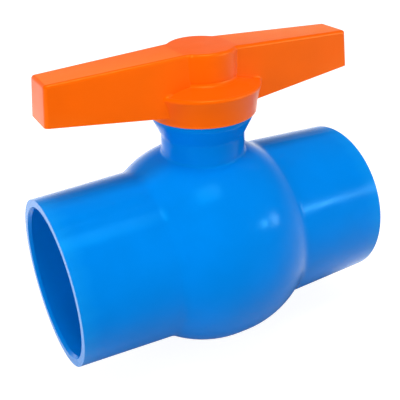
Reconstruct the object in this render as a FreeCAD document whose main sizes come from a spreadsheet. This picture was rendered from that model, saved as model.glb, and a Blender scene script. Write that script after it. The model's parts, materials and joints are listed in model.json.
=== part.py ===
import FreeCAD, Part
import math
import os
import Sketcher

# One-piece plastic ball valve with two plain sockets for a 63 mm pipe, and a two-winged turning handle.
# Millimetres and degrees. X runs along the pipe, Z up along the stem, and the origin is the ball's centre.
# The valve stands open, with the handle in line with the pipe; it shuts a quarter turn clockwise.

DRIVING_SIZES = {
    # ball and seats, from the waterway outwards
    "waterway_radius": 24.0,
    "ball_rim": 9.0,                # wall of the ball, from the waterway to its skin
    "waterway_edge_round": 1.0,
    "throat_step": 0.5,             # the passages beside the ball are this much wider than its waterway
    "seat_width": 5.5,              # from the throat to the seat's outside
    "seat_land": 1.65,              # flat front of the seat, outside the face that seals
    "seat_heel": 2.318,             # plastic behind the sealing face
    "seat_gap": 0.05,               # film between the ball and its seat
    "seat_edge_chamfer": 0.6,
    "cushion_section_radius": 1.2,
    # holder halves round the ball
    "ball_clearance": 0.6,
    "holder_wall": 6.3,
    "holder_gap": 0.1,              # between a holder and what it lies in or carries
    "holder_web": 2.4,              # plastic between its two ring grooves
    "end_ring_section_radius": 1.1,
    "ring_groove_room": 0.25,       # side room for a rubber ring in its groove
    "peg_radius": 1.5,
    "peg_length": 3.0,
    "peg_angle": 30.0,
    # moulded body: the round middle, with a short straight part between its two round ends
    "bulge_wall": 5.9,
    "bulge_middle": 3.6,
    "bulge_crease_round": 8.0,      # hollow fillet where it runs into the sockets
    "chamber_end_step": 0.6,        # the chamber narrows to this much outside the seats
    # moulded body: sockets
    "stop_thickness": 2.5,          # ring that the pipe end stops against
    "socket_depth": 38.0,           # from the mouth to the pipe stop
    "socket_bore": 63.2,            # inside diameter that takes the pipe
    "mouth_wall": 4.0,              # wall of the socket at its mouth
    "socket_draft": 2.04,           # the outside grows towards the ball by this angle
    "lead_in_length": 1.5,          # chamfer that guides the pipe in
    "lead_in_rise": 0.8,
    # moulded body: neck, collar and the spigot that the handle turns on
    "neck_radius": 17.65,
    "neck_foot_round": 1.4,
    "neck_height": 5.9,             # from the top of the bulge to where the neck starts to widen
    "flare_height": 7.1,
    "flare_round": 3.0,
    "collar_radius": 21.0,
    "collar_height": 2.1,
    "collar_edge_round": 0.5,
    "spigot_radius": 16.0,
    "spigot_height": 5.5,
    "stem_bore_radius": 12.45,
    "stem_ledge_rise": 1.0,         # the ledge that holds the stem down lies this far over the chamber
    "stem_entry_chamfer": 0.6,
    "stop_lug_width": 2.9,          # how far the stop lugs stand out from the spigot
    "stop_lug_height": 4.8,
    # stem
    "running_gap": 0.05,            # radial gap of the stem and its rings in the neck
    "shoulder_step": 2.55,          # the shoulder is this much wider than the bore above it
    "shoulder_height": 3.6,
    "washer_thickness": 1.0,
    "shoulder_side_gap": 0.4,
    "tang_thickness": 8.0,
    "tang_length": 20.0,
    "tang_edge_round": 0.8,
    "slot_gap": 0.15,               # round the tang in the ball's slot
    "stem_ring_first": 6.0,         # height of the lower ring over the ledge
    "stem_ring_spacing": 7.0,
    "stem_ring_section_radius": 1.3,
    "handle_seat_lift": 0.5,        # the stem's step stands this far over the spigot
    "stem_head_step": 1.0,          # the head is this much narrower than the stem
    "stem_head_flat": 8.2,          # half width across the two flats
    "stem_head_height": 17.0,
    "stem_head_chamfer": 1.0,
    "snap_height": 12.0,
    "snap_radius": 0.7,
    "snap_length": 8.0,
    # handle: skirt and hub
    "handle_lift": 0.3,             # gap between the collar and the skirt
    "skirt_side_gap": 0.9,          # between the spigot's stop lugs and the inside of the skirt
    "skirt_spread": 1.75,           # the skirt is this much wider at its top edge
    "skirt_height": 11.5,
    "skirt_hollow_arc": 45.0,       # the skirt's outside is hollow like a bell
    "skirt_edge_round": 1.2,
    "skirt_wall": 2.55,
    "skirt_inner_draft": 3.0,
    "skirt_roof_wall": 2.8,
    "shoulder_slope_rise": 2.8,     # the sloping shoulder between the skirt and the hub
    "hub_radius": 14.6,
    "hub_foot_round": 1.5,
    "boss_radius": 14.0,
    "head_gap": 0.05,               # round the stem's head in the handle
    "stop_gap": 0.4,                # between the handle's lugs and the spigot
    "turn_angle": 90.0,
    "stop_slack": 0.5,
    # handle: wings
    "handle_height": 27.0,          # from the skirt's lower edge to the top of the hub
    "wing_top_fall": 2.8,           # the tops slope down to the ends
    "wing_under_lift": 1.0,         # the undersides start this far over the skirt's lower edge
    "wing_under_rise": 7.8,         # and climb to the ends
    "wing_half_length_top": 66.4,
    "wing_half_length_under": 68.1,
    "wing_half_width_centre": 10.35,
    "wing_half_width_end": 7.95,
    "wing_draft": 2.0,
    "crown_past_root": 0.84,        # the soft ridge over the hub ends this far past the wings' root rounds
    "wing_root_round": 1.5,
    "wing_end_round": 1.5,
    "wing_top_round": 1.4,
    "wing_wall": 2.4,
    "wing_roof": 2.6,
    "wing_end_wall": 1.4,           # at the top; the end leans out further down
    "channel_wall": 3.6,            # between the skirt's hollow and a wing's channel
    "core_wall": 3.4,               # round the boss, and between the core and the channel
    "rib_thickness": 1.8,
    "rib_recess": 3.5,              # the ribs stop this far above the wing's lower edge
    "rib_first": 33.5,
    "rib_spacing": 10.5,
}
RIBS_PER_WING = 3
FULL_TURN = 360.0
SAME_PLACE = 0.02                   # two points closer than this are the same point
UPRIGHT = 0.5                       # an edge that climbs more than this per millimetre stands up
AXIS_ALONG_PIPE = FreeCAD.Rotation(FreeCAD.Vector(0, 1, 0), 90)
HALF_TURN = FreeCAD.Rotation(FreeCAD.Vector(0, 0, 1), 180)


class Size:
    """A length or an angle: what it measures now, and the formula that ties it to the sheet."""

    def __init__(self, value, formula):
        self.value = value
        self.formula = formula

    def __add__(self, other):
        other = as_size(other)
        return Size(self.value + other.value, f"({self.formula} + {other.formula})")

    def __sub__(self, other):
        other = as_size(other)
        return Size(self.value - other.value, f"({self.formula} - {other.formula})")

    def __mul__(self, other):
        other = as_size(other)
        return Size(self.value * other.value, f"({self.formula} * {other.formula})")

    def __truediv__(self, other):
        other = as_size(other)
        return Size(self.value / other.value, f"({self.formula} / {other.formula})")

    def __neg__(self):
        return Size(-self.value, f"(-1 * {self.formula})")


def as_size(number):
    """A plain number as a size with no tie to the sheet."""
    if isinstance(number, Size):
        return number
    return Size(float(number), str(number))


def root(size):
    """The square root of a size."""
    return Size(math.sqrt(size.value), f"sqrt({size.formula})")


def tangent(angle):
    """The tangent of an angle in degrees."""
    return Size(math.tan(math.radians(angle.value)), f"tan({angle.formula})")


def cosine(angle):
    """The cosine of an angle in degrees."""
    return Size(math.cos(math.radians(angle.value)), f"cos({angle.formula})")


def sine(angle):
    """The sine of an angle in degrees."""
    return Size(math.sin(math.radians(angle.value)), f"sin({angle.formula})")


def side_of_right_triangle(long_side, short_side):
    """The third side of a right triangle."""
    return root(long_side * long_side - short_side * short_side)


class Sheet:
    """The document's spreadsheet, read as sizes: sheet.ball_rim is a size tied to that cell."""

    def __init__(self, document, values):
        self.cells = document.addObject("Spreadsheet::Sheet", "Sizes")
        for row, (alias, value) in enumerate(values.items(), start=1):
            self.cells.set(f"A{row}", str(value))
            self.cells.setAlias(f"A{row}", alias)
            setattr(self, alias, Size(float(value), f"Sizes.{alias}"))


document = FreeCAD.newDocument("BallValve")
sheet = Sheet(document, DRIVING_SIZES)
document.recompute()

ZERO = as_size(0)


def new_body(label):
    """An empty body with its own name."""
    body = document.addObject("PartDesign::Body", label)
    body.Label = label
    return body


def origin_part(body, role):
    """One of the body's own planes or axes."""
    return next(part for part in body.Origin.OriginFeatures if part.Role == role)


def bind(thing, setting, size):
    """Sets a property to a size and ties it to the sheet."""
    thing.setExpression(setting, size.formula)


def new_sketch(body, name, role, lift=None):
    """An empty sketch on one of the body's own planes, moved along its normal by lift."""
    sketch = body.newObject("Sketcher::SketchObject", name)
    sketch.AttachmentSupport = (origin_part(body, role), [""])
    sketch.MapMode = "FlatFace"
    if lift is not None:
        bind(sketch, "AttachmentOffset.Base.z", lift)
    return sketch


def fix_point(sketch, edge, end, across, up):
    """Ties one end of an edge, or a circle's centre, to its distances from the sketch's origin."""
    for kind, other_axis, size in (("DistanceX", -2, across), ("DistanceY", -1, up)):
        if size.formula == ZERO.formula:
            sketch.addConstraint(Sketcher.Constraint("PointOnObject", edge, end, other_axis))
            continue
        number = sketch.addConstraint(Sketcher.Constraint(kind, -1, 1, edge, end, size.value))
        bind(sketch, f"Constraints[{number}]", size)


def fix_radius(sketch, edge, radius):
    """Ties the radius of a circle or an arc."""
    number = sketch.addConstraint(Sketcher.Constraint("Radius", edge, radius.value))
    bind(sketch, f"Constraints[{number}]", radius)


def arc_between(start, end, radius, turns_left):
    """The shorter arc from start to end, as the sketcher wants it: always anticlockwise."""
    chord = end - start
    rise = math.sqrt(max(radius ** 2 - (chord.Length / 2) ** 2, 0.0))
    left = FreeCAD.Vector(-chord.y, chord.x, 0).normalize()
    centre = (start + end) / 2 + left * (rise if turns_left else -rise)
    first, last = (start, end) if turns_left else (end, start)
    angles = [math.atan2(point.y - centre.y, point.x - centre.x) for point in (first, last)]
    circle = Part.Circle(centre, FreeCAD.Vector(0, 0, 1), radius)
    return Part.ArcOfCircle(circle, angles[0], angles[1])


def draw_loop(sketch, corners):
    """A closed outline. A corner is (across, up), or (across, up, radius, turn) where an arc starts at it.

    The turn is "left" for an arc that runs anticlockwise to the next corner, else "right".
    """
    points = [FreeCAD.Vector(corner[0].value, corner[1].value, 0) for corner in corners]
    first_edge = sketch.GeometryCount
    ends = []
    for corner, start, end in zip(corners, points, points[1:] + points[:1]):
        if len(corner) == 2:
            sketch.addGeometry(Part.LineSegment(start, end), False)
            ends.append((1, 2))
            continue
        turns_left = corner[3] == "left"
        sketch.addGeometry(arc_between(start, end, corner[2].value, turns_left), False)
        ends.append((1, 2) if turns_left else (2, 1))
    for number, corner in enumerate(corners):
        following = (number + 1) % len(corners)
        sketch.addConstraint(Sketcher.Constraint(
            "Coincident", first_edge + number, ends[number][1], first_edge + following, ends[following][0]))
    for number, corner in enumerate(corners):
        fix_point(sketch, first_edge + number, ends[number][0], corner[0], corner[1])
        if len(corner) > 2:
            fix_radius(sketch, first_edge + number, corner[2])


def draw_circle(sketch, across, up, radius):
    """A circle tied to its centre and radius."""
    centre = FreeCAD.Vector(across.value, up.value, 0)
    edge = sketch.addGeometry(Part.Circle(centre, FreeCAD.Vector(0, 0, 1), radius.value), False)
    fix_point(sketch, edge, 3, across, up)
    fix_radius(sketch, edge, radius)


def outline(body, name, role, *loops, lift=None):
    """A sketch with one or more closed outlines."""
    sketch = new_sketch(body, name, role, lift)
    for corners in loops:
        draw_loop(sketch, corners)
    return sketch


def finish_feature(body, feature, removes):
    """Recomputes a feature and makes sure that it added or removed something."""
    solids = [item for item in body.Group if item.isDerivedFrom("PartDesign::Feature")]
    place = solids.index(feature)
    document.recompute()
    before = solids[place - 1].Shape.Volume if place else 0.0
    after = feature.Shape.Volume
    if (after >= before) if removes else (after <= before):
        raise ValueError(f"{feature.Label} of {body.Label} changes nothing")
    return feature


def turned(body, name, sketch, axis, removes=False):
    """A full turn of an outline about the sketch's own H_Axis or V_Axis, as material or as a cut."""
    kind = "PartDesign::Groove" if removes else "PartDesign::Revolution"
    feature = body.newObject(kind, name)
    feature.Profile = sketch
    feature.ReferenceAxis = (sketch, [axis])
    feature.Angle = FULL_TURN
    return finish_feature(body, feature, removes)


def pushed(body, name, sketch, length, removes=False, backwards=False, both_ways=False):
    """An outline pushed straight out, as material or as a cut; both_ways centres it on the sketch."""
    feature = body.newObject("PartDesign::Pocket" if removes else "PartDesign::Pad", name)
    feature.Profile = sketch
    feature.SideType = "Symmetric" if both_ways else "One side"
    feature.Reversed = backwards
    bind(feature, "Length", length)
    return finish_feature(body, feature, removes)


def lofted(body, name, sketches, removes=False):
    """Straight walls from section to section, as material or as a cut."""
    kind = "PartDesign::SubtractiveLoft" if removes else "PartDesign::AdditiveLoft"
    feature = body.newObject(kind, name)
    feature.Profile = sketches[0]
    feature.Sections = sketches[1:]
    feature.Ruled = True
    return finish_feature(body, feature, removes)


def mirrored(body, name, originals, role, removes=False):
    """The same features again on the other side of one of the body's planes."""
    feature = body.newObject("PartDesign::Mirrored", name)
    feature.Originals = originals
    feature.MirrorPlane = (origin_part(body, role), [""])
    body.Tip = feature
    return finish_feature(body, feature, removes)


def repeated_about_stem(body, name, originals, count, removes=False):
    """The same features again, spaced evenly round the stem axis."""
    feature = body.newObject("PartDesign::PolarPattern", name)
    feature.Originals = originals
    feature.Axis = (origin_part(body, "Z_Axis"), [""])
    feature.Angle = FULL_TURN
    feature.Occurrences = count
    body.Tip = feature
    return finish_feature(body, feature, removes)


def face_names(feature, wanted):
    """The flat faces of a feature that pass a test on their outward normal and middle point."""
    names = []
    for number, face in enumerate(feature.Shape.Faces, start=1):
        if isinstance(face.Surface, Part.Plane) and wanted(face.normalAt(0, 0), face.CenterOfMass):
            names.append(f"Face{number}")
    return names


def softened(body, name, size, wanted, kind="PartDesign::Fillet"):
    """Rounds, or chamfers, the edges that pass a test on the edge and its middle point."""
    base = body.Tip
    edges = []
    for number, edge in enumerate(base.Shape.Edges, start=1):
        if edge.Degenerated:
            continue
        middle = edge.valueAt((edge.FirstParameter + edge.LastParameter) / 2)
        if wanted(edge, middle):
            edges.append(f"Edge{number}")
    if not edges:
        raise ValueError(f"{name} of {body.Label} finds no edge")
    feature = body.newObject(kind, name)
    feature.Base = (base, edges)
    bind(feature, "Size" if kind.endswith("Chamfer") else "Radius", size)
    document.recompute()
    return feature


def is_ring(edge, centre, radius=None):
    """Whether an edge is a whole circle, or part of one, about this centre and with this radius."""
    if not isinstance(edge.Curve, Part.Circle):
        return False
    if edge.Curve.Center.distanceToPoint(centre) > SAME_PLACE:
        return False
    return radius is None or abs(edge.Curve.Radius - radius.value) < SAME_PLACE


def rubber_ring(label, major_radius, section_radius, distance, rotation, along):
    """A rubber ring about the stem or the pipe axis, at a distance from the ball's centre."""
    ring = document.addObject("Part::Torus", label)
    ring.Label = label
    ring.Placement = FreeCAD.Placement(FreeCAD.Vector(0, 0, 0), rotation)
    bind(ring, "Radius1", major_radius)
    bind(ring, "Radius2", section_radius)
    bind(ring, f"Placement.Base.{along}", distance)
    return ring


# ---- places that several pieces share ----

ball_radius = sheet.waterway_radius + sheet.ball_rim
throat_radius = sheet.waterway_radius + sheet.throat_step
seat_outer_radius = throat_radius + sheet.seat_width
seat_face_radius = ball_radius + sheet.seat_gap
seat_front = side_of_right_triangle(seat_face_radius, seat_outer_radius - sheet.seat_land)
seat_back = side_of_right_triangle(seat_face_radius, throat_radius) + sheet.seat_heel
cushion_major_radius = (throat_radius + seat_outer_radius) / 2
cushion_floor = seat_back + sheet.cushion_section_radius * 2
end_groove_floor = cushion_floor + sheet.holder_web

chamber_end = end_groove_floor + sheet.end_ring_section_radius * 2
chamber_end_radius = seat_outer_radius + sheet.chamber_end_step
holder_cavity_radius = ball_radius + sheet.ball_clearance
holder_outer_radius = holder_cavity_radius + sheet.holder_wall
holder_end_radius = chamber_end_radius - sheet.holder_gap
end_ring_major_radius = (throat_radius + holder_end_radius) / 2
chamber_radius = holder_outer_radius + sheet.holder_gap
bulge_radius = chamber_radius + sheet.bulge_wall
bulge_half = sheet.bulge_middle / 2

pipe_stop = chamber_end + sheet.stop_thickness
mouth = pipe_stop + sheet.socket_depth
bore_radius = sheet.socket_bore / 2
mouth_radius = bore_radius + sheet.mouth_wall

flare_foot = bulge_radius + sheet.neck_height
flare_top = flare_foot + sheet.flare_height
collar_top = flare_top + sheet.collar_height
spigot_top = collar_top + sheet.spigot_height
stop_lug_radius = sheet.spigot_radius + sheet.stop_lug_width
stem_ledge = chamber_radius + sheet.stem_ledge_rise
shoulder_radius = sheet.stem_bore_radius + sheet.shoulder_step
shoulder_hole_radius = shoulder_radius + sheet.shoulder_side_gap
shoulder_top = stem_ledge - sheet.washer_thickness - sheet.running_gap
stem_radius = sheet.stem_bore_radius - sheet.running_gap
tang_bottom = (sheet.waterway_radius + ball_radius) / 2
stem_ring_low = stem_ledge + sheet.stem_ring_first
stem_ring_high = stem_ring_low + sheet.stem_ring_spacing
stem_step = spigot_top + sheet.handle_seat_lift
stem_head_radius = stem_radius - sheet.stem_head_step
stem_head_top = stem_step + sheet.stem_head_height
snap_level = stem_step + sheet.snap_height

handle_foot = collar_top + sheet.handle_lift
skirt_top = handle_foot + sheet.skirt_height
skirt_roof = skirt_top - sheet.skirt_roof_wall
skirt_inner_radius = stop_lug_radius + sheet.skirt_side_gap
skirt_foot_radius = skirt_inner_radius + sheet.skirt_wall
skirt_top_radius = skirt_foot_radius + sheet.skirt_spread
hub_foot = skirt_top + sheet.shoulder_slope_rise
wing_top_centre = handle_foot + sheet.handle_height
wing_top_end = wing_top_centre - sheet.wing_top_fall
wing_under_centre = handle_foot + sheet.wing_under_lift
wing_under_end = wing_under_centre + sheet.wing_under_rise
wing_blank_length = sheet.wing_half_length_top + sheet.wing_half_length_under - skirt_top_radius
channel_start = skirt_inner_radius + sheet.channel_wall
channel_end = sheet.wing_half_length_top - sheet.wing_end_wall
core_start = sheet.boss_radius + sheet.core_wall
core_end = channel_start - sheet.core_wall
lug_span = (as_size(180) - sheet.turn_angle - sheet.stop_slack * 2) / 2


def sector(inner, outer, middle_angle, span):
    """The outline of a piece of a ring, seen along the stem."""
    start = middle_angle - span / 2
    end = middle_angle + span / 2
    return [
        (inner * cosine(start), inner * sine(start)),
        (outer * cosine(start), outer * sine(start), outer, "left"),
        (outer * cosine(end), outer * sine(end)),
        (inner * cosine(end), inner * sine(end), inner, "right"),
    ]


# ---- moulded body ----

def socket_crease():
    """How far from the ball's centre the drafted socket meets the round middle."""
    slope = tangent(sheet.socket_draft)
    reach = mouth_radius + slope * (mouth - bulge_half)
    steepness = slope * slope + 1
    inside = (reach * slope) * (reach * slope) - steepness * (
        reach * reach - bulge_radius * bulge_radius)
    return bulge_half + (reach * slope + root(inside)) / steepness


def make_valve_body():
    """Two sockets, the round middle, and the neck with its collar, spigot and stops, in one moulding."""
    body = new_body("valve_body")
    crease = socket_crease()
    crease_radius = mouth_radius + tangent(sheet.socket_draft) * (mouth - crease)
    turned(body, "SocketsAndBulge", outline(body, "OutsideOutline", "XZ_Plane", [
        (-mouth, ZERO),
        (mouth, ZERO),
        (mouth, mouth_radius),
        (crease, crease_radius, bulge_radius, "left"),
        (bulge_half, bulge_radius),
        (-bulge_half, bulge_radius, bulge_radius, "left"),
        (-crease, crease_radius),
        (-mouth, mouth_radius),
    ]), "H_Axis")
    softened(body, "BulgeCreaseRounds", sheet.bulge_crease_round, lambda edge, middle: any(
        is_ring(edge, FreeCAD.Vector(side * crease.value, 0, 0)) for side in (-1, 1)))

    turned(body, "Neck", outline(body, "NeckOutline", "XZ_Plane", [
        (ZERO, ball_radius),
        (sheet.neck_radius, ball_radius),
        (sheet.neck_radius, flare_foot),
        (sheet.collar_radius, flare_top),
        (sheet.collar_radius, collar_top),
        (sheet.spigot_radius, collar_top),
        (sheet.spigot_radius, spigot_top),
        (ZERO, spigot_top),
    ]), "V_Axis")
    softened(body, "NeckFootRound", sheet.neck_foot_round, lambda edge, middle: (
        not isinstance(edge.Curve, (Part.Circle, Part.Line))
        and abs(math.hypot(middle.x, middle.y) - sheet.neck_radius.value) < SAME_PLACE
        and middle.z < flare_foot.value))
    softened(body, "FlareRounds", sheet.flare_round, lambda edge, middle: (
        is_ring(edge, FreeCAD.Vector(0, 0, flare_foot.value), sheet.neck_radius)
        or is_ring(edge, FreeCAD.Vector(0, 0, flare_top.value), sheet.collar_radius)))
    softened(body, "CollarEdgeRound", sheet.collar_edge_round, lambda edge, middle: is_ring(
        edge, FreeCAD.Vector(0, 0, collar_top.value), sheet.collar_radius))

    lug = pushed(body, "StopLug", outline(body, "StopLugOutline", "XY_Plane", sector(
        sheet.stem_bore_radius, stop_lug_radius, sheet.turn_angle / 2, lug_span),
        lift=collar_top - sheet.collar_edge_round), sheet.stop_lug_height + sheet.collar_edge_round)
    repeated_about_stem(body, "StopLugs", [lug], 2)

    chamber_crease = bulge_half + side_of_right_triangle(chamber_radius, chamber_end_radius)
    turned(body, "SocketsAndChamber", outline(body, "InsideOutline", "XZ_Plane", [
        (-mouth, ZERO),
        (mouth, ZERO),
        (mouth, bore_radius + sheet.lead_in_rise),
        (mouth - sheet.lead_in_length, bore_radius),
        (pipe_stop, bore_radius),
        (pipe_stop, throat_radius),
        (chamber_end, throat_radius),
        (chamber_end, chamber_end_radius),
        (chamber_crease, chamber_end_radius, chamber_radius, "left"),
        (bulge_half, chamber_radius),
        (-bulge_half, chamber_radius, chamber_radius, "left"),
        (-chamber_crease, chamber_end_radius),
        (-chamber_end, chamber_end_radius),
        (-chamber_end, throat_radius),
        (-pipe_stop, throat_radius),
        (-pipe_stop, bore_radius),
        (sheet.lead_in_length - mouth, bore_radius),
        (-mouth, bore_radius + sheet.lead_in_rise),
    ]), "H_Axis", removes=True)
    turned(body, "StemBore", outline(body, "StemBoreOutline", "XZ_Plane", [
        (ZERO, ball_radius),
        (shoulder_hole_radius, ball_radius),
        (shoulder_hole_radius, stem_ledge),
        (sheet.stem_bore_radius, stem_ledge),
        (sheet.stem_bore_radius, spigot_top - sheet.stem_entry_chamfer),
        (sheet.stem_bore_radius + sheet.stem_entry_chamfer, spigot_top),
        (ZERO, spigot_top),
    ]), "V_Axis", removes=True)
    return body


# ---- ball, seats and the holder halves that clamp them ----

def make_ball():
    """The ball, with its waterway along the pipe and the slot for the stem's tang across it."""
    body = new_body("ball")
    turned(body, "Sphere", outline(body, "SphereOutline", "XZ_Plane", [
        (ZERO, -ball_radius, ball_radius, "left"),
        (ball_radius, ZERO, ball_radius, "left"),
        (ZERO, ball_radius),
    ]), "V_Axis")
    waterway = new_sketch(body, "WaterwayOutline", "YZ_Plane")
    draw_circle(waterway, ZERO, ZERO, sheet.waterway_radius)
    pushed(body, "Waterway", waterway, ball_radius * 3, removes=True, both_ways=True)
    softened(body, "WaterwayEdgeRounds", sheet.waterway_edge_round, lambda edge, middle: (
        isinstance(edge.Curve, Part.Circle) and abs(edge.Curve.Axis.x) > abs(edge.Curve.Axis.z)
        and abs(edge.Curve.Radius - sheet.waterway_radius.value) < SAME_PLACE))
    slot_x = sheet.tang_thickness / 2 + sheet.slot_gap
    slot_y = sheet.tang_length / 2 + sheet.slot_gap
    slot_floor = tang_bottom - sheet.slot_gap
    pushed(body, "StemSlot", outline(body, "StemSlotOutline", "XY_Plane", [
        (-slot_x, -slot_y),
        (slot_x, -slot_y),
        (slot_x, slot_y),
        (-slot_x, slot_y),
    ], lift=slot_floor), ball_radius, removes=True, backwards=True)
    return body


def make_seat(label, rotation):
    """A plastic seat ring whose hollow face seals on the ball."""
    body = new_body(label)
    chamfer = sheet.seat_edge_chamfer
    turned(body, "Ring", outline(body, "RingOutline", "XZ_Plane", [
        (seat_back, throat_radius),
        (seat_back, seat_outer_radius - chamfer),
        (seat_back - chamfer, seat_outer_radius),
        (seat_front, seat_outer_radius),
        (seat_front, seat_outer_radius - sheet.seat_land, seat_face_radius, "right"),
        (seat_back - sheet.seat_heel, throat_radius),
    ]), "H_Axis")
    body.Placement = FreeCAD.Placement(FreeCAD.Vector(0, 0, 0), rotation)
    return body


def make_holder(label, rotation):
    """One half of the holder: it carries a seat, keeps the ball centred, and pegs into the other half."""
    body = new_body(label)
    outer_crease = bulge_half + side_of_right_triangle(holder_outer_radius, holder_end_radius)
    pocket_radius = seat_outer_radius + sheet.holder_gap
    cushion_half = sheet.cushion_section_radius + sheet.ring_groove_room
    end_ring_half = sheet.end_ring_section_radius + sheet.ring_groove_room
    turned(body, "Shell", outline(body, "ShellOutline", "XZ_Plane", [
        (ZERO, holder_cavity_radius, holder_cavity_radius, "right"),
        (side_of_right_triangle(holder_cavity_radius, pocket_radius), pocket_radius),
        (seat_back, pocket_radius),
        (seat_back, cushion_major_radius + cushion_half),
        (cushion_floor, cushion_major_radius + cushion_half),
        (cushion_floor, cushion_major_radius - cushion_half),
        (seat_back, cushion_major_radius - cushion_half),
        (seat_back, throat_radius),
        (chamber_end, throat_radius),
        (chamber_end, end_ring_major_radius - end_ring_half),
        (end_groove_floor, end_ring_major_radius - end_ring_half),
        (end_groove_floor, end_ring_major_radius + end_ring_half),
        (chamber_end, end_ring_major_radius + end_ring_half),
        (chamber_end, holder_end_radius),
        (outer_crease, holder_end_radius, holder_outer_radius, "left"),
        (bulge_half, holder_outer_radius),
        (ZERO, holder_outer_radius),
    ]), "H_Axis")
    turned(body, "StemHole", outline(body, "StemHoleOutline", "XZ_Plane", [
        (ZERO, seat_outer_radius),
        (shoulder_hole_radius, seat_outer_radius),
        (shoulder_hole_radius, stem_ledge),
        (ZERO, stem_ledge),
    ]), "V_Axis", removes=True)
    peg_circle_radius = (holder_cavity_radius + holder_outer_radius) / 2
    peg_y = peg_circle_radius * cosine(sheet.peg_angle)
    peg_z = peg_circle_radius * sine(sheet.peg_angle)
    pegs = new_sketch(body, "PegOutlines", "YZ_Plane")
    holes = new_sketch(body, "PegHoleOutlines", "YZ_Plane")
    for height in (peg_z, -peg_z):
        draw_circle(pegs, peg_y, height, sheet.peg_radius)
        draw_circle(holes, -peg_y, height, sheet.peg_radius + sheet.holder_gap)
    pushed(body, "Pegs", pegs, sheet.peg_length, backwards=True)
    pushed(body, "PegHoles", holes, sheet.peg_length + sheet.holder_gap, removes=True, backwards=True)
    body.Placement = FreeCAD.Placement(FreeCAD.Vector(0, 0, 0), rotation)
    return body


# ---- stem ----

def make_thrust_washer():
    """The slippery washer between the stem's shoulder and the ledge in the neck."""
    body = new_body("thrust_washer")
    turned(body, "Ring", outline(body, "RingOutline", "XZ_Plane", [
        (sheet.stem_bore_radius + sheet.holder_gap, stem_ledge - sheet.washer_thickness),
        (shoulder_radius, stem_ledge - sheet.washer_thickness),
        (shoulder_radius, stem_ledge),
        (sheet.stem_bore_radius + sheet.holder_gap, stem_ledge),
    ]), "V_Axis")
    return body


def make_stem():
    """Tang for the ball, shoulder that keeps the stem in, two ring grooves, and the head with two flats."""
    body = new_body("stem")
    groove_half = sheet.stem_ring_section_radius + sheet.ring_groove_room
    groove_root = stem_radius - sheet.stem_ring_section_radius * 2
    shaft = [
        (ZERO, shoulder_top - sheet.shoulder_height),
        (shoulder_radius, shoulder_top - sheet.shoulder_height),
        (shoulder_radius, shoulder_top),
        (stem_radius, shoulder_top),
    ]
    for level in (stem_ring_low, stem_ring_high):
        shaft += [
            (stem_radius, level - groove_half),
            (groove_root, level - groove_half),
            (groove_root, level + groove_half),
            (stem_radius, level + groove_half),
        ]
    shaft += [
        (stem_radius, stem_step),
        (stem_head_radius, stem_step),
        (stem_head_radius, stem_head_top - sheet.stem_head_chamfer),
        (stem_head_radius - sheet.stem_head_chamfer, stem_head_top),
        (ZERO, stem_head_top),
    ]
    turned(body, "Shaft", outline(body, "ShaftOutline", "XZ_Plane", shaft), "V_Axis")

    tang_x = sheet.tang_thickness / 2
    tang_y = sheet.tang_length / 2
    pushed(body, "Tang", outline(body, "TangOutline", "XY_Plane", [
        (-tang_x, -tang_y),
        (tang_x, -tang_y),
        (tang_x, tang_y),
        (-tang_x, tang_y),
    ], lift=tang_bottom), shoulder_top - sheet.shoulder_height - tang_bottom)
    softened(body, "TangFootRound", sheet.tang_edge_round, lambda edge, middle: (
        isinstance(edge.Curve, Part.Line) and abs(middle.z - tang_bottom.value) < SAME_PLACE))

    head_height = stem_head_top - stem_step
    far_out = stem_head_radius + sheet.stem_head_chamfer
    pushed(body, "HeadFlats", outline(body, "HeadFlatOutlines", "XY_Plane", *[[
        (-far_out, near),
        (far_out, near),
        (far_out, far),
        (-far_out, far),
    ] for near, far in ((sheet.stem_head_flat, far_out), (-far_out, -sheet.stem_head_flat))],
        lift=stem_step), head_height, removes=True, backwards=True)
    snaps = new_sketch(body, "SnapGrooveOutlines", "YZ_Plane")
    for side in (sheet.stem_head_flat, -sheet.stem_head_flat):
        draw_circle(snaps, side, snap_level, sheet.snap_radius + sheet.holder_gap)
    pushed(body, "SnapGrooves", snaps, far_out * 2, removes=True, both_ways=True)
    return body


# ---- handle ----

def wing_slope(centre, end, half_length):
    """How much a wing's level or width changes for each millimetre away from the stem."""
    return (end - centre) / half_length


def wing_top_at(distance):
    """Level of the wing's top, this far from the stem."""
    return wing_top_centre + distance * wing_slope(
        wing_top_centre, wing_top_end, sheet.wing_half_length_top)


def wing_under_at(distance):
    """Level of the wing's lower edge."""
    return wing_under_centre + distance * wing_slope(
        wing_under_centre, wing_under_end, sheet.wing_half_length_under)


def wing_end_at(level):
    """How far from the stem the wing's end face lies at a level."""
    lean = (sheet.wing_half_length_under - sheet.wing_half_length_top) / (wing_top_end - wing_under_end)
    return sheet.wing_half_length_under - lean * (level - wing_under_end)


def wing_half_width_at(distance, level):
    """Half the wing's width at a level; the draft makes it wider further down."""
    at_top = sheet.wing_half_width_centre + distance * wing_slope(
        sheet.wing_half_width_centre, sheet.wing_half_width_end, sheet.wing_half_length_top)
    return at_top + tangent(sheet.wing_draft) * (wing_top_at(distance) - level)


def wing_section(body, name, side, distance, top, bottom, wall):
    """A cross-section of a wing, this far from the stem and this far inside its skin."""
    half_bottom = wing_half_width_at(distance, bottom) - wall
    half_top = wing_half_width_at(distance, top) - wall
    return outline(body, name, "YZ_Plane", [
        (-half_bottom, bottom),
        (half_bottom, bottom),
        (half_top, top),
        (-half_top, top),
    ], lift=distance * side)


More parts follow.
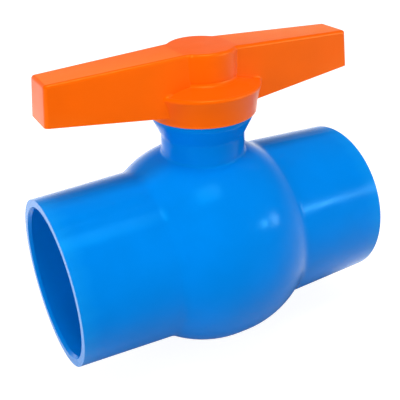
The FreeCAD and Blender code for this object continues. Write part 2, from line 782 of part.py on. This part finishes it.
def add_wings(body):
    """Both wings: the plan outline, drafted sides, then the slopes underneath and at the ends."""
    reach = wing_blank_length
    level = wing_under_centre
    middle_half = wing_half_width_at(ZERO, level)
    end_half = wing_half_width_at(reach, level)
    block = pushed(body, "WingBlock", outline(body, "WingPlan", "XY_Plane", [
        (-reach, -end_half),
        (ZERO, -middle_half),
        (reach, -end_half),
        (reach, end_half),
        (ZERO, middle_half),
        (-reach, end_half),
    ], lift=level), wing_top_centre + sheet.wing_roof - level)
    sides = face_names(block, lambda normal, middle: abs(normal.y) > abs(normal.x) + abs(normal.z))
    foot = face_names(block, lambda normal, middle: normal.z < -abs(normal.x) - abs(normal.y))
    draft = body.newObject("PartDesign::Draft", "WingDraft")
    draft.Base = (block, sides)
    draft.NeutralPlane = (block, foot)
    bind(draft, "Angle", sheet.wing_draft)
    document.recompute()
    if draft.Shape.Volume > block.Shape.Volume:
        draft.Reversed = True
        document.recompute()

    low = level - sheet.wing_roof
    high = wing_top_centre + sheet.wing_roof * 2
    past_end = reach + sheet.wing_roof
    pushed(body, "WingUnderside", outline(body, "WingUndersideOutline", "XZ_Plane", *[[
        (ZERO, low),
        (past_end * side, low),
        (past_end * side, wing_under_at(past_end)),
        (ZERO, level),
    ] for side in (1, -1)]), middle_half * 3, removes=True, both_ways=True)
    pushed(body, "WingEnds", outline(body, "WingEndOutline", "XZ_Plane", *[[
        (wing_end_at(low) * side, low),
        (past_end * side, low),
        (past_end * side, high),
        (wing_end_at(high) * side, high),
    ] for side in (1, -1)]), middle_half * 3, removes=True, both_ways=True)


def add_skirt_and_hub(body):
    """The bell-shaped skirt, its sloping shoulder and the round hub, as one turned outline."""
    shoulder_run = skirt_top_radius - sheet.hub_radius
    shoulder_rise = hub_foot - skirt_top
    shoulder_length = root(shoulder_run * shoulder_run + shoulder_rise * shoulder_rise)
    edge = sheet.skirt_edge_round
    foot = sheet.hub_foot_round
    turned(body, "SkirtAndHub", outline(body, "SkirtAndHubOutline", "XZ_Plane", [
        (ZERO, handle_foot),
        (skirt_foot_radius, handle_foot, sheet.skirt_hollow_arc, "right"),
        (skirt_top_radius, skirt_top - edge, edge, "left"),
        (skirt_top_radius - edge * shoulder_run / shoulder_length,
         skirt_top + edge * shoulder_rise / shoulder_length),
        (sheet.hub_radius + foot * shoulder_run / shoulder_length,
         hub_foot - foot * shoulder_rise / shoulder_length, foot, "right"),
        (sheet.hub_radius, hub_foot + foot),
        (sheet.hub_radius, wing_top_centre + sheet.wing_roof),
        (ZERO, wing_top_centre + sheet.wing_roof),
    ]), "V_Axis")


def cut_the_top(body):
    """The wings' sloping tops, with a soft crown where they meet over the hub."""
    slope = wing_slope(wing_top_end, wing_top_centre, sheet.wing_half_length_top)
    wing_root = side_of_right_triangle(sheet.hub_radius, sheet.wing_half_width_centre)
    crown_edge = wing_root + sheet.wing_root_round + sheet.crown_past_root
    crown_radius = crown_edge * root(slope * slope + 1) / slope
    past_end = wing_blank_length + sheet.wing_roof
    above = wing_top_centre + sheet.wing_roof * 2
    pushed(body, "Top", outline(body, "TopOutline", "XZ_Plane", [
        (crown_edge, wing_top_at(crown_edge), crown_radius, "left"),
        (-crown_edge, wing_top_at(crown_edge)),
        (-past_end, wing_top_at(past_end)),
        (-past_end, above),
        (past_end, above),
        (past_end, wing_top_at(past_end)),
    ]), sheet.hub_radius * 3, removes=True, both_ways=True)


def round_the_grip(body):
    """Soft roots where the wings leave the hub and the skirt, then the end corners, then the top rim."""
    def near_top(point):
        return point.z > (wing_top_at(as_size(abs(point.x))) - sheet.wing_top_round).value

    def on_wing_side(point):
        half_width = wing_half_width_at(as_size(abs(point.x)), as_size(point.z)).value
        return abs(abs(point.y) - half_width) < SAME_PLACE

    def stands_up(edge, middle):
        return abs(edge.tangentAt(edge.parameterAt(edge.Vertexes[0])).z) > UPRIGHT

    def is_root(edge, middle):
        within = math.hypot(middle.x, middle.y) < skirt_top_radius.value + SAME_PLACE
        above_under = middle.z > wing_under_at(as_size(abs(middle.x))).value + SAME_PLACE
        on_skirt = middle.z < skirt_top.value
        on_hub = middle.z > (hub_foot + sheet.hub_foot_round).value
        beside_wing = within and above_under and on_wing_side(middle) and not near_top(middle)
        return beside_wing and (on_skirt or on_hub)

    def is_end_corner(edge, middle):
        on_end = abs(abs(middle.x) - wing_end_at(as_size(middle.z)).value) < SAME_PLACE
        return on_end and on_wing_side(middle) and stands_up(edge, middle)

    def is_top_rim(edge, middle):
        across_middle = abs(middle.y) < SAME_PLACE and abs(middle.x) < (
            sheet.wing_half_length_top - sheet.wing_end_round).value
        return near_top(middle) and not across_middle and not stands_up(edge, middle)

    softened(body, "WingRootRounds", sheet.wing_root_round, is_root)
    softened(body, "WingEndRounds", sheet.wing_end_round, is_end_corner)
    softened(body, "TopRimRound", sheet.wing_top_round, is_top_rim)


def hollow_the_handle(body):
    """Skirt cavity, the shaped hole for the stem's head, and the wings' open channels with their ribs."""
    cavity_top_radius = skirt_inner_radius + tangent(sheet.skirt_inner_draft) * (
        skirt_roof - handle_foot)
    turned(body, "SkirtCavity", outline(body, "SkirtCavityOutline", "XZ_Plane", [
        (ZERO, handle_foot),
        (skirt_inner_radius, handle_foot),
        (cavity_top_radius, skirt_roof),
        (sheet.boss_radius, skirt_roof),
        (sheet.boss_radius, stem_step),
        (ZERO, stem_step),
    ]), "V_Axis", removes=True)

    hole_radius = stem_head_radius + sheet.head_gap
    flat = sheet.stem_head_flat + sheet.head_gap
    flat_end = side_of_right_triangle(hole_radius, flat)
    pushed(body, "HeadHole", outline(body, "HeadHoleOutline", "XY_Plane", [
        (flat_end, -flat, hole_radius, "left"),
        (flat_end, flat),
        (-flat_end, flat, hole_radius, "left"),
        (-flat_end, -flat),
    ], lift=stem_step), stem_head_top + sheet.handle_lift - stem_step,
        removes=True, backwards=True)
    snaps = new_sketch(body, "SnapOutlines", "YZ_Plane")
    for side in (flat, -flat):
        draw_circle(snaps, side, snap_level, sheet.snap_radius)
    pushed(body, "Snaps", snaps, sheet.snap_length, both_ways=True)

    below = handle_foot - sheet.wing_roof
    channel_ends = []
    for name, distance in (("ChannelStart", channel_start), ("ChannelEnd", channel_end)):
        roof = wing_top_at(distance) - sheet.wing_roof
        channel_ends.append(wing_section(body, name, 1, distance, roof, below, sheet.wing_wall))
    channel = lofted(body, "Channel", channel_ends, removes=True)
    core_half = wing_half_width_at(core_end, wing_top_end) - sheet.wing_wall
    core = pushed(body, "HubCore", outline(body, "HubCoreOutline", "XY_Plane", [
        (core_start, -core_half),
        (core_end, -core_half),
        (core_end, core_half),
        (core_start, core_half),
    ], lift=skirt_roof), wing_top_at(core_end) - sheet.wing_roof - skirt_roof,
        removes=True, backwards=True)
    mirrored(body, "OtherChannel", [channel, core], "YZ_Plane", removes=True)

    ribs = []
    for number in range(RIBS_PER_WING):
        distance = sheet.rib_first + sheet.rib_spacing * number
        sketch = wing_section(body, f"RibOutline{number}", 1, distance,
                              wing_top_at(distance) - sheet.wing_roof / 2,
                              wing_under_at(distance) + sheet.rib_recess, sheet.wing_wall / 2)
        ribs.append(pushed(body, f"Rib{number}", sketch, sheet.rib_thickness, both_ways=True))
    mirrored(body, "OtherRibs", ribs, "YZ_Plane")


def add_stop_lugs(body):
    """Two lugs inside the skirt that meet the body's lugs after a quarter turn."""
    inner = sheet.spigot_radius + sheet.stop_gap
    outer = skirt_inner_radius + sheet.stop_gap
    foot = handle_foot + sheet.handle_lift
    lug = pushed(body, "StopLug", outline(body, "StopLugOutline", "XY_Plane", sector(
        inner, outer, ZERO, lug_span), lift=foot), skirt_roof + sheet.handle_lift - foot)
    repeated_about_stem(body, "StopLugs", [lug], 2)


def make_handle():
    """Two-winged handle, moulded hollow from below."""
    body = new_body("handle")
    add_wings(body)
    add_skirt_and_hub(body)
    cut_the_top(body)
    round_the_grip(body)
    hollow_the_handle(body)
    add_stop_lugs(body)
    return body


# ---- the whole valve ----

NO_TURN = FreeCAD.Rotation()
pieces = [make_valve_body(), make_ball(), make_thrust_washer(), make_stem(), make_handle()]
for side_name, turn in (("right", NO_TURN), ("left", HALF_TURN)):
    pieces.append(make_seat(f"seat_{side_name}", turn))
    pieces.append(make_holder(f"ball_holder_{side_name}", turn))
    side = 1 if side_name == "right" else -1
    cushion_place = (seat_back + sheet.cushion_section_radius) * side
    end_ring_place = (chamber_end - sheet.end_ring_section_radius) * side
    pieces.append(rubber_ring(f"seat_cushion_{side_name}", cushion_major_radius,
                              sheet.cushion_section_radius, cushion_place, AXIS_ALONG_PIPE, "x"))
    pieces.append(rubber_ring(f"holder_seal_{side_name}", end_ring_major_radius,
                              sheet.end_ring_section_radius, end_ring_place, AXIS_ALONG_PIPE, "x"))
stem_ring_major = stem_radius - sheet.stem_ring_section_radius
for level_name, level in (("lower", stem_ring_low), ("upper", stem_ring_high)):
    pieces.append(rubber_ring(f"stem_seal_{level_name}", stem_ring_major, sheet.stem_ring_section_radius,
                              level, NO_TURN, "z"))

document.recompute()
for thing in document.Objects:
    if "Invalid" in thing.State or "Error" in thing.State:
        raise ValueError(f"{thing.Label} failed: {thing.State}")
for piece in pieces:
    if piece.Shape.isNull() or not piece.Shape.isValid() or len(piece.Shape.Solids) != 1:
        raise ValueError(f"{piece.Label} isn't one sound solid")

os.makedirs("parts", exist_ok=True)
for piece in pieces:
    piece.Shape.exportStep(f"parts/{piece.Label}.step")
    print(piece.Label, round(piece.Shape.Volume, 1))
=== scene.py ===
import json
import math

import bpy
from mathutils import Matrix, Vector


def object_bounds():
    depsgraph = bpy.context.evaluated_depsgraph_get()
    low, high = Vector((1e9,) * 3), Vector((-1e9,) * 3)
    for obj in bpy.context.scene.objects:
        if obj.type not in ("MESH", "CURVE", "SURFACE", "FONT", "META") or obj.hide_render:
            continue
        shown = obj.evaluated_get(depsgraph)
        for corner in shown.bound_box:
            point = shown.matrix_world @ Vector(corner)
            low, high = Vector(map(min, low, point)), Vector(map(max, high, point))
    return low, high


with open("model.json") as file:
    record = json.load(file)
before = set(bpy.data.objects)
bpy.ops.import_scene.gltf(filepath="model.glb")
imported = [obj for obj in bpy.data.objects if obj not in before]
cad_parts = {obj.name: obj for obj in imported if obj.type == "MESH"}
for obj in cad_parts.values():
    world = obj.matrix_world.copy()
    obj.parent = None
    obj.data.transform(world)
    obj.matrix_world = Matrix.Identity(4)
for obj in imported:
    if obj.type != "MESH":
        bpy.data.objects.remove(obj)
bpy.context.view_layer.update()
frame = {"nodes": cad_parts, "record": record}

# Looks for a one-piece plastic ball valve: materials, soft studio light and the photograph's camera.

# The camera stands front left and above, and sees the ball's centre at BALL_CENTRE_PIXEL. Angles are in
# degrees and lengths in metres, apart from the sensor's width, which is in millimetres.
CAMERA_AZIMUTH = -28.17
CAMERA_ELEVATION = 28.41
CAMERA_ROLL = 1.72
CAMERA_DISTANCE = 0.3056
CAMERA_CLIP_START = 0.01
IMAGE_SIZE = 400
FOCAL_PIXELS = 670.5
BALL_CENTRE_PIXEL = (205.4, 235.45)
SENSOR_WIDTH = 36.0

# Strength of the room's light, and of its ceiling in reflections. Reflections fade from white at the horizon
# to the ceiling's strength, which they reach where a direction's upward share is CEILING_START.
WORLD_LIGHT = 0.44
CEILING_LIGHT = 0.07
CEILING_START = 0.32

# The floor reaches this far each way, in metres, and shows this much plain white to the camera.
FLOOR_REACH = 3.0
FLOOR_GLOW = 0.90

# In reflections the floor's glow is dark close under the valve, a painted contact shadow, by how open it is
# within CONTACT_REACH metres: dark up to an openness of CONTACT_DARK, white from CONTACT_WHITE.
CONTACT_REACH = 0.08
CONTACT_DARK = 0.50
CONTACT_WHITE = 0.85

# Each lamp's place and size in metres and power in watts. The top light lights the valve and shows in its
# reflections. The other lights only light it, and the glints only show in reflections.
LAMPS = {
    "top_light": {"place": (0.0, -0.20, 0.75), "size": (0.34, 0.22), "power": 3.2},
    "left_light": {"place": (-0.80, -0.22, 0.15), "size": (0.40, 0.40), "power": 2.95, "glints": False},
    "front_light": {"place": (0.26, -0.80, 0.15), "size": (0.60, 0.50), "power": 1.85, "glints": False},
    "back_light": {"place": (-0.15, 0.70, 0.45), "size": (0.60, 0.40), "power": 2.4, "glints": False},
    "window_glint": {"place": (0.66, -0.47, 0.25), "size": (0.15, 0.13), "power": 1.4, "lights": False},
    "strip_glint": {"place": (0.49, -0.57, 0.30), "size": (0.09, 0.05), "power": 1.3, "lights": False},
}

# Colours as they look on screen, from 0 to 255. The edge colours are painted highlights on pointed edges.
BLUE = (0, 127, 222)
BLUE_EDGE_HIGHLIGHT = (30, 165, 238)
BLUE_GLINT = (0, 200, 255)
ORANGE = (244, 94, 0)
ORANGE_EDGE_HIGHLIGHT = (255, 128, 40)
ORANGE_GLINT = (255, 190, 70)
BALL_WHITE = (238, 238, 234)
HOLDER_WHITE = (226, 227, 224)
SEAT_WHITE = (240, 239, 233)
RUBBER_BLACK = (26, 26, 28)
RUBBER_EDGE_HIGHLIGHT = (60, 60, 62)
FLOOR_GREY = (190, 190, 192)
SHADOW_GREY = (150, 150, 151)
WHITE = (255, 255, 255)

# Each material slot's colour, the colour of the painted highlight on its edges and of its glints, its mean
# roughness, how much it shines and how deep its grain is.
LOOK_OF_SLOT = {
    "blue_plastic": (BLUE, BLUE_EDGE_HIGHLIGHT, BLUE_GLINT, 0.18, 0.11, 0.3),
    "orange_plastic": (ORANGE, ORANGE_EDGE_HIGHLIGHT, ORANGE_GLINT, 0.34, 0.5, 0.4),
    "ball_plastic": (BALL_WHITE, WHITE, WHITE, 0.14, 0.5, 0.1),
    "white_plastic": (HOLDER_WHITE, WHITE, WHITE, 0.42, 0.4, 0.5),
    "seat_plastic": (SEAT_WHITE, WHITE, WHITE, 0.48, 0.35, 0.3),
    "rubber_ring": (RUBBER_BLACK, RUBBER_EDGE_HIGHLIGHT, WHITE, 0.62, 0.4, 0.8),
}
PLASTIC_IOR = 1.5

# Clouds lighten and darken the colour by these factors, over a range of their noise. Scales are in cycles
# per metre.
CLOUDS = {"scale": 38.0, "detail": 3.0}
CLOUD_RANGE = {"start": 0.3, "end": 0.7}
CLOUD_DARK = 0.95
CLOUD_LIGHT = 1.04

# Smudges make the surface smoother or rougher by up to these amounts.
SMUDGES = {"scale": 90.0, "detail": 3.0}
SMUDGE_RANGE = {"start": 0.2, "end": 0.8}
SMUDGE_SMOOTHER = 0.05
SMUDGE_ROUGHER = 0.07

# Waves from the mould and fine grain, with their heights in metres.
WAVES = {"scale": 55.0, "detail": 1.0}
WAVE_HEIGHT = 0.0005
WAVE_STRENGTH = 0.06
GRAIN = {"scale": 2600.0, "detail": 2.0}
GRAIN_HEIGHT = 0.00005

# The edge colour, a painted highlight, covers up to EDGE_HIGHLIGHT_SHARE of the plastic, more of it the more
# pointed the surface is.
POINTED_RANGE = {"start": 0.54, "end": 0.66}
EDGE_HIGHLIGHT_SHARE = 0.6


def linear(colour):
    """A screen colour as the shader wants it, by the sRGB curve."""
    shares = [part / 255 for part in colour]
    strengths = [part / 12.92 if part <= 0.04045 else ((part + 0.055) / 1.055) ** 2.4 for part in shares]
    return (*strengths, 1.0)


def scaled(colour, factor):
    """A linear colour made lighter or darker without losing its hue."""
    return tuple(min(part * factor, 1.0) for part in colour[:3]) + (1.0,)


class Nodes:
    """A short way to write the node tree of a material or a world."""

    def __init__(self, owner):
        owner.use_nodes = True
        self.tree = owner.node_tree

    def add(self, kind, inputs=None, **settings):
        """A new node with its settings made and its inputs set or linked."""
        node = self.tree.nodes.new(kind)
        for key, value in settings.items():
            setattr(node, key, value)
        for key, value in (inputs or {}).items():
            if isinstance(value, bpy.types.NodeSocket):
                self.tree.links.new(value, node.inputs[key])
            else:
                node.inputs[key].default_value = value
        return node

    def noise(self, scale, detail):
        """Noise in object space, with scale in cycles per metre."""
        place = self.add("ShaderNodeTexCoord").outputs["Object"]
        inputs = {"Vector": place, "Scale": scale, "Detail": detail}
        return self.add("ShaderNodeTexNoise", inputs).outputs["Fac"]

    def ramp(self, value, low, high, start, end):
        """A number that runs from low to high as value runs from start to end."""
        ends = {"From Min": start, "From Max": end, "To Min": low, "To Max": high}
        return self.add("ShaderNodeMapRange", {"Value": value, **ends}).outputs["Result"]

    def combine(self, operation, first, second):
        """Two numbers made into one by a math node."""
        return self.add("ShaderNodeMath", {0: first, 1: second}, operation=operation).outputs[0]

    def mix_numbers(self, share, first, second):
        """The first number with share of the second in it; the mix node keeps numbers in sockets 2 and 3."""
        return self.add("ShaderNodeMix", {0: share, 2: first, 3: second}, data_type="FLOAT").outputs[0]

    def mix_colours(self, share, first, second):
        """The first colour with share of the second in it; the mix node keeps colours in sockets 6 and 7."""
        return self.add("ShaderNodeMix", {0: share, 6: first, 7: second}, data_type="RGBA").outputs[2]

    def seen_in_reflections(self, path):
        """1 for a ray that a glossy or a clear surface sends on, else 0."""
        return self.combine("MAXIMUM", path.outputs["Is Glossy Ray"], path.outputs["Is Transmission Ray"])


def moulded_plastic(name, colour, edge, glint, roughness, shine, grain):
    """Moulded plastic: slow waves from the mould, fine grain, faint rub marks and a paler painted highlight
    on its edges.
    """
    material = bpy.data.materials.new(name)
    nodes = Nodes(material)
    shader = nodes.tree.nodes["Principled BSDF"]
    base = linear(colour)
    cloud = nodes.ramp(nodes.noise(**CLOUDS), 0.0, 1.0, **CLOUD_RANGE)
    tint = nodes.mix_colours(cloud, scaled(base, CLOUD_DARK), scaled(base, CLOUD_LIGHT))
    pointiness = nodes.add("ShaderNodeNewGeometry").outputs["Pointiness"]
    # Pointed edges take the edge colour, a painted highlight.
    painted_edge_highlight = nodes.ramp(pointiness, 0.0, EDGE_HIGHLIGHT_SHARE, **POINTED_RANGE)
    nodes.tree.links.new(nodes.mix_colours(painted_edge_highlight, tint, linear(edge)), shader.inputs["Base Color"])

    smudge = nodes.noise(**SMUDGES)
    rough = nodes.ramp(smudge, roughness - SMUDGE_SMOOTHER, roughness + SMUDGE_ROUGHER, **SMUDGE_RANGE)
    nodes.tree.links.new(rough, shader.inputs["Roughness"])
    shader.inputs["Specular IOR Level"].default_value = shine
    shader.inputs["Specular Tint"].default_value = linear(glint)
    shader.inputs["IOR"].default_value = PLASTIC_IOR

    waves = nodes.add("ShaderNodeBump", {
        "Height": nodes.noise(**WAVES), "Distance": WAVE_HEIGHT, "Strength": WAVE_STRENGTH})
    skin = nodes.add("ShaderNodeBump", {
        "Height": nodes.noise(**GRAIN), "Distance": GRAIN_HEIGHT, "Strength": grain,
        "Normal": waves.outputs["Normal"]})
    nodes.tree.links.new(skin.outputs["Normal"], shader.inputs["Normal"])
    return material


def dress_the_parts():
    """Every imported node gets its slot's material."""
    made = {slot: moulded_plastic(slot, *look) for slot, look in LOOK_OF_SLOT.items()}
    slot_of_node = {part["node"]: part["material_slot"] for part in frame["record"]["subparts"]}
    for name, thing in frame["nodes"].items():
        thing.data.materials.clear()
        thing.data.materials.append(made[slot_of_node[name]])


def camera_axes():
    """Right, up and back of the photograph's camera, as vectors in the part's frame."""
    azimuth = math.radians(CAMERA_AZIMUTH)
    elevation = math.radians(CAMERA_ELEVATION)
    level = math.cos(elevation)
    back = Vector((math.sin(azimuth) * level, -math.cos(azimuth) * level, math.sin(elevation)))
    right = (-back).cross(Vector((0, 0, 1))).normalized()
    down = (-back).cross(right)
    roll = math.radians(CAMERA_ROLL)
    turned_right = right * math.cos(roll) + down * math.sin(roll)
    turned_down = down * math.cos(roll) - right * math.sin(roll)
    return turned_right, -turned_down, back


def add_camera():
    """The photograph's camera, placed so that the ball's centre falls on its pixel."""
    right, up, back = camera_axes()
    across = (BALL_CENTRE_PIXEL[0] - IMAGE_SIZE / 2) / FOCAL_PIXELS
    below = (BALL_CENTRE_PIXEL[1] - IMAGE_SIZE / 2) / FOCAL_PIXELS
    place = (back - right * across + up * below) * CAMERA_DISTANCE
    data = bpy.data.cameras.new("camera")
    data.sensor_width = SENSOR_WIDTH
    data.lens = FOCAL_PIXELS / IMAGE_SIZE * SENSOR_WIDTH
    data.clip_start = CAMERA_CLIP_START
    camera = bpy.data.objects.new("camera", data)
    bpy.context.scene.collection.objects.link(camera)
    camera.matrix_world = Matrix.Translation(place) @ Matrix((right, up, back)).transposed().to_4x4()
    bpy.context.scene.camera = camera


def add_softbox(name, place, size, power, lights=True, glints=True):
    """A studio light that faces the ball's centre, with its first side turned along the pipe.

    One that doesn't light only shows in reflections, and one that doesn't glint never shows in them.
    """
    data = bpy.data.lights.new(name, "AREA")
    data.shape = "RECTANGLE"
    data.size, data.size_y = size
    data.energy = power
    lamp = bpy.data.objects.new(name, data)
    behind = Vector(place).normalized()
    along = (Vector((1, 0, 0)) - behind * behind.x).normalized()
    turn = Matrix((along, behind.cross(along), behind)).transposed().to_4x4()
    lamp.matrix_world = Matrix.Translation(place) @ turn
    lamp.visible_diffuse = lights
    lamp.visible_glossy = glints
    lamp.visible_camera = False
    bpy.context.scene.collection.objects.link(lamp)


def add_world():
    """A white room with a dim ceiling: plain light on the object, and pure white behind it.

    Reflections show the same white round the object, and less of it the further up they look.
    """
    world = bpy.data.worlds.new("studio")
    bpy.context.scene.world = world
    nodes = Nodes(world)
    background = nodes.tree.nodes["Background"]
    path = nodes.add("ShaderNodeLightPath")
    direction = nodes.add("ShaderNodeTexCoord").outputs["Generated"]
    upward = nodes.add("ShaderNodeSeparateXYZ", {0: direction}).outputs["Z"]
    ceiling = nodes.ramp(upward, 1.0, CEILING_LIGHT, start=0.0, end=CEILING_START)
    light = nodes.mix_numbers(nodes.seen_in_reflections(path), WORLD_LIGHT, ceiling)
    strength = nodes.combine("MAXIMUM", path.outputs["Is Camera Ray"], light)
    nodes.tree.links.new(strength, background.inputs["Strength"])
    background.inputs["Color"].default_value = linear(WHITE)


def add_floor():
    """A wide floor under the valve: white to the eye and in reflections, with the valve's soft shadow, lit
    to the eye and painted into the glow in reflections.

    It throws back less light than it shows, so that the valve's underside stays shaded.
    """
    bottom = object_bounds()[0].z
    mesh = bpy.data.meshes.new("floor")
    corners = [(-1, -1), (1, -1), (1, 1), (-1, 1)]
    points = [(across * FLOOR_REACH, along * FLOOR_REACH, bottom) for across, along in corners]
    mesh.from_pydata(points, [], [(0, 1, 2, 3)])
    floor = bpy.data.objects.new("floor", mesh)
    bpy.context.scene.collection.objects.link(floor)

    material = bpy.data.materials.new("floor")
    nodes = Nodes(material)
    nodes.tree.nodes.remove(nodes.tree.nodes["Principled BSDF"])
    path = nodes.add("ShaderNodeLightPath")
    seen = path.outputs["Is Camera Ray"]
    # In reflections the glow darkens where the floor is closed in under the valve: a painted contact shadow.
    openness = nodes.add("ShaderNodeAmbientOcclusion", {"Distance": CONTACT_REACH}).outputs["AO"]
    contact = nodes.ramp(openness, 0.0, 1.0, start=CONTACT_DARK, end=CONTACT_WHITE)
    to_mirror = nodes.combine("MULTIPLY", nodes.seen_in_reflections(path), contact)
    to_camera = nodes.combine("MULTIPLY", seen, FLOOR_GLOW)
    glow = nodes.add("ShaderNodeEmission", {"Strength": nodes.combine("MAXIMUM", to_camera, to_mirror)})
    colour = nodes.mix_colours(seen, linear(FLOOR_GREY), linear(SHADOW_GREY))
    lit = nodes.add("ShaderNodeBsdfDiffuse", {"Color": colour})
    both = nodes.add("ShaderNodeAddShader", {0: lit.outputs["BSDF"], 1: glow.outputs["Emission"]})
    nodes.tree.links.new(both.outputs["Shader"], nodes.tree.nodes["Material Output"].inputs["Surface"])
    mesh.materials.append(material)


dress_the_parts()
add_camera()
add_world()
add_floor()
for lamp_name, lamp_facts in LAMPS.items():
    add_softbox(lamp_name, **lamp_facts)
bpy.context.scene.view_settings.view_transform = "Standard"
